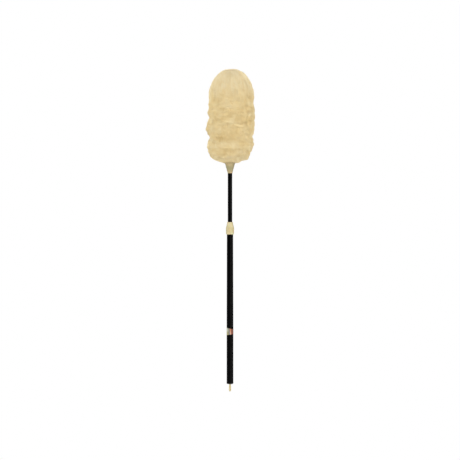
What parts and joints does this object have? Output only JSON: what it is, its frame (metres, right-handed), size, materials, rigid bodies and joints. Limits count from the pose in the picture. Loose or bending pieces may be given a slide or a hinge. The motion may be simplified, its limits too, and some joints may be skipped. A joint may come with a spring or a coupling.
{
  "type": "lambswool duster",
  "caption": "Extending duster: a black handle tube with a hanging loop, a sliding pole locked by a twist collar, and a cream lambswool head on a conical ferrule.",
  "frame": {"origin": "centre of the handle tube's lower end face", "axes": "+Z along the pole towards the head; -Y is the front, where the label's wide side is"},
  "size_m": [0.137, 0.137, 0.9238],
  "materials": {
    "black_plastic": "satin",
    "cream_plastic": "satin",
    "white_plastic": "satin",
    "label_paper": "satin",
    "cotton_cord": "matte",
    "black_rubber": "matte",
    "steel": "satin",
    "hide": "matte",
    "stitching": "matte",
    "lambswool": "matte"
  },
  "bodies": {
    "handle": {"outer_tube": "black_plastic", "end_cap": "black_plastic", "label": "label_paper", "hang_loop": "cotton_cord", "loop_knot": "cotton_cord", "lock_base": "white_plastic", "insert_pins": "steel", "lock_collet": "white_plastic"},
    "lock_ring": {"thrust_washer": "white_plastic"},
    "collar": {"lock_collar": "cream_plastic"},
    "glide": {"glide_bush": "white_plastic", "glide_ring": "black_rubber"},
    "pole": {"inner_tube": "black_plastic", "tube_plug": "white_plastic", "bush_screw": "steel", "bush_washer": "steel", "ferrule": "cream_plastic", "ferrule_pin": "steel", "head_core": "white_plastic", "core_screws": "steel", "core_end_plug": "white_plastic", "pelt_sleeve": "hide", "pelt_seam": "stitching", "pelt_staples": "steel", "neck_tie": "cotton_cord", "wool_pile": "lambswool"}
  },
  "joints": [
    {"name": "telescope", "type": "slide", "parent": "handle", "child": "glide", "axis": [0, 0, 1], "range_m": [-0.136, 0.22]},
    {"name": "pole_turn", "type": "hinge", "parent": "glide", "child": "pole", "pos_m": [0, 0, 0.4], "axis": [0, 0, 1], "continuous": true},
    {"name": "washer_rise", "type": "slide", "parent": "handle", "child": "lock_ring", "axis": [0, 0, 1], "range_m": [0, 0.00151]},
    {"name": "collar_twist", "type": "hinge", "parent": "lock_ring", "child": "collar", "pos_m": [0, 0, 0.4385], "axis": [0, 0, 1], "range_deg": [0, 180]}
  ],
  "couplings": [
    {"joint": "washer_rise", "follows": "collar_twist", "m_per_rad": 0.00047746}
  ]
}
